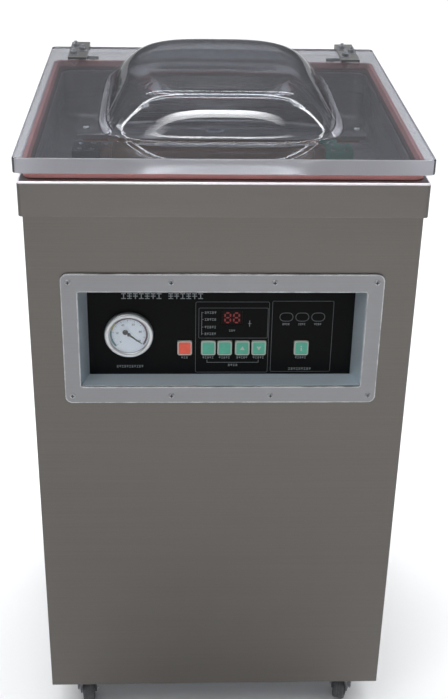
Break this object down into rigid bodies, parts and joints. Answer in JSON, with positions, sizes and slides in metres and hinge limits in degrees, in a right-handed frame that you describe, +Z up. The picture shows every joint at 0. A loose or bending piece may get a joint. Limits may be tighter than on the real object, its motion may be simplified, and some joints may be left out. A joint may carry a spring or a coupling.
{
  "type": "vacuum packing machine",
  "caption": "Floor-standing chamber vacuum packer: steel cabinet on casters, recessed control panel with a gauge, and a clear domed lid hinged over a gasketed chamber with a lifting seal bar.",
  "frame": {"origin": "on the floor, at the middle of the machine's box in plan", "axes": "+Z up, +X to the right as seen from the front, the control panel faces -Y"},
  "size_m": [0.54, 0.595, 1.0083],
  "materials": {
    "cabinet_stainless": "satin, horizontal grain",
    "rim_stainless": "satin",
    "chamber_stainless": "bright drawn",
    "recess_stainless": "satin",
    "bezel_aluminium": "satin",
    "bar_aluminium": "extruded",
    "zinc_steel": "zinc plated",
    "hinge_steel": "satin",
    "spring_steel": "bright",
    "caster_steel": "zinc plated, dulled",
    "gasket_silicone": "matt",
    "pad_silicone": "matt",
    "hose_rubber": "matt",
    "caster_tread": "matt",
    "panel_film": "satin film",
    "display_red": "dark red filter",
    "button_green": "satin",
    "button_red": "satin",
    "gauge_chrome": "polished",
    "dial_enamel": "printed",
    "gauge_glass": "clear",
    "needle_black": "matt",
    "circuit_board": "solder resist",
    "pump_paint": "hammer finish",
    "transformer_iron": "varnished",
    "valve_brass": "turned",
    "ptfe_cloth": "glass cloth with PTFE",
    "terminal_copper": "dull copper",
    "green_laminate": "glass epoxy laminate",
    "dark_plastic": "moulded",
    "lid_acrylic": "clear acrylic"
  },
  "bodies": {
    "cabinet": {"base_tray": "zinc_steel", "cabinet_shell": "cabinet_stainless", "rear_panel": "cabinet_stainless", "top_rim": "rim_stainless", "chamber_well": "chamber_stainless", "gasket": "gasket_silicone", "control_bezel": "bezel_aluminium", "control_recess": "recess_stainless", "control_panel": "panel_film", "display_window": "display_red", "gauge_case": "gauge_chrome", "gauge_dial": "dial_enamel", "gauge_lens": "gauge_glass", "control_board": "circuit_board", "vacuum_pump": "pump_paint", "pump_motor": "pump_paint", "transformer": "transformer_iron", "vacuum_valve": "valve_brass", "vacuum_hose": "hose_rubber", "lift_cylinder_left": "bar_aluminium", "lift_cylinder_right": "bar_aluminium", "hinge_bracket_left": "hinge_steel", "hinge_bracket_right": "hinge_steel", "hinge_pin_left": "zinc_steel", "hinge_pin_right": "zinc_steel", "lid_spring_left": "spring_steel", "lid_spring_right": "spring_steel", "mains_gland": "dark_plastic", "caster_plate_front_left": "zinc_steel", "caster_plate_front_right": "zinc_steel", "caster_plate_rear_left": "zinc_steel", "caster_plate_rear_right": "zinc_steel"},
    "lid": {"lid": "lid_acrylic", "counter_bar": "bar_aluminium", "counter_pad": "pad_silicone", "hinge_arm_left": "hinge_steel", "hinge_arm_right": "hinge_steel"},
    "seal_bar": {"seal_bar": "bar_aluminium", "seal_cover": "ptfe_cloth", "heating_element": "terminal_copper", "end_block_left": "dark_plastic", "end_block_right": "green_laminate"},
    "gauge_needle": {"gauge_needle": "needle_black"},
    "motor_fan": {"motor_fan": "dark_plastic"},
    "stop_button": {"stop_button": "button_red"},
    "select_button": {"select_button": "button_green"},
    "enter_button": {"enter_button": "button_green"},
    "up_button": {"up_button": "button_green"},
    "down_button": {"down_button": "button_green"},
    "start_button": {"start_button": "button_green"},
    "caster_front_left": {"caster_fork_front_left": "caster_steel"},
    "wheel_front_left": {"caster_wheel_front_left": "caster_tread"},
    "pedal_front_left": {"brake_pedal_front_left": "dark_plastic"},
    "caster_front_right": {"caster_fork_front_right": "caster_steel"},
    "wheel_front_right": {"caster_wheel_front_right": "caster_tread"},
    "pedal_front_right": {"brake_pedal_front_right": "dark_plastic"},
    "caster_rear_left": {"caster_fork_rear_left": "caster_steel"},
    "wheel_rear_left": {"caster_wheel_rear_left": "caster_tread"},
    "caster_rear_right": {"caster_fork_rear_right": "caster_steel"},
    "wheel_rear_right": {"caster_wheel_rear_right": "caster_tread"}
  },
  "joints": [
    {"name": "lid_hinge", "type": "hinge", "parent": "cabinet", "child": "lid", "pos_m": [0, 0.2655, 0.905], "axis": [-1, 0, 0], "range_deg": [0, 60], "deforming": ["lid_spring_left", "lid_spring_right"]},
    {"name": "seal_lift", "type": "slide", "parent": "cabinet", "child": "seal_bar", "axis": [0, 0, 1], "range_m": [0, 0.007]},
    {"name": "needle_turn", "type": "hinge", "parent": "cabinet", "child": "gauge_needle", "pos_m": [-0.128, -0.2575, 0.687], "axis": [0, -1, 0], "range_deg": [0, 256]},
    {"name": "fan_spin", "type": "hinge", "parent": "cabinet", "child": "motor_fan", "pos_m": [0.162, 0.0925, 0.1733], "axis": [1, 0, 0], "continuous": true},
    {"name": "stop_button_travel", "type": "slide", "parent": "cabinet", "child": "stop_button", "axis": [0, 1, 0], "range_m": [0, 0.0015], "stiffness_N_per_m": 300, "springref_m": -0.003},
    {"name": "select_button_travel", "type": "slide", "parent": "cabinet", "child": "select_button", "axis": [0, 1, 0], "range_m": [0, 0.0015], "stiffness_N_per_m": 300, "springref_m": -0.003},
    {"name": "enter_button_travel", "type": "slide", "parent": "cabinet", "child": "enter_button", "axis": [0, 1, 0], "range_m": [0, 0.0015], "stiffness_N_per_m": 300, "springref_m": -0.003},
    {"name": "up_button_travel", "type": "slide", "parent": "cabinet", "child": "up_button", "axis": [0, 1, 0], "range_m": [0, 0.0015], "stiffness_N_per_m": 300, "springref_m": -0.003},
    {"name": "down_button_travel", "type": "slide", "parent": "cabinet", "child": "down_button", "axis": [0, 1, 0], "range_m": [0, 0.0015], "stiffness_N_per_m": 300, "springref_m": -0.003},
    {"name": "start_button_travel", "type": "slide", "parent": "cabinet", "child": "start_button", "axis": [0, 1, 0], "range_m": [0, 0.0015], "stiffness_N_per_m": 300, "springref_m": -0.003},
    {"name": "swivel_front_left", "type": "hinge", "parent": "cabinet", "child": "caster_front_left", "pos_m": [-0.205, -0.2605, 0.07], "axis": [0, 0, 1], "continuous": true},
    {"name": "roll_front_left", "type": "hinge", "parent": "caster_front_left", "child": "wheel_front_left", "pos_m": [-0.20778, -0.24069, 0.025], "axis": [0.9903, 0.1392, 0], "continuous": true},
    {"name": "brake_front_left", "type": "hinge", "parent": "caster_front_left", "child": "pedal_front_left", "pos_m": [-0.20848, -0.23574, 0.0594], "axis": [0.9903, 0.1392, 0], "range_deg": [0, 12]},
    {"name": "swivel_front_right", "type": "hinge", "parent": "cabinet", "child": "caster_front_right", "pos_m": [0.205, -0.2605, 0.07], "axis": [0, 0, 1], "continuous": true},
    {"name": "roll_front_right", "type": "hinge", "parent": "caster_front_right", "child": "wheel_front_right", "pos_m": [0.21118, -0.24148, 0.025], "axis": [0.9511, -0.309, 0], "continuous": true},
    {"name": "brake_front_right", "type": "hinge", "parent": "caster_front_right", "child": "pedal_front_right", "pos_m": [0.21272, -0.23672, 0.0594], "axis": [0.9511, -0.309, 0], "range_deg": [0, 12]},
    {"name": "swivel_rear_left", "type": "hinge", "parent": "cabinet", "child": "caster_rear_left", "pos_m": [-0.205, 0.1855, 0.07], "axis": [0, 0, 1], "continuous": true},
    {"name": "roll_rear_left", "type": "hinge", "parent": "caster_rear_left", "child": "wheel_rear_left", "pos_m": [-0.205, 0.2055, 0.025], "axis": [1, 0, 0], "continuous": true},
    {"name": "swivel_rear_right", "type": "hinge", "parent": "cabinet", "child": "caster_rear_right", "pos_m": [0.205, 0.1855, 0.07], "axis": [0, 0, 1], "continuous": true},
    {"name": "roll_rear_right", "type": "hinge", "parent": "caster_rear_right", "child": "wheel_rear_right", "pos_m": [0.20084, 0.20506, 0.025], "axis": [0.9781, 0.2079, 0], "continuous": true}
  ]
}
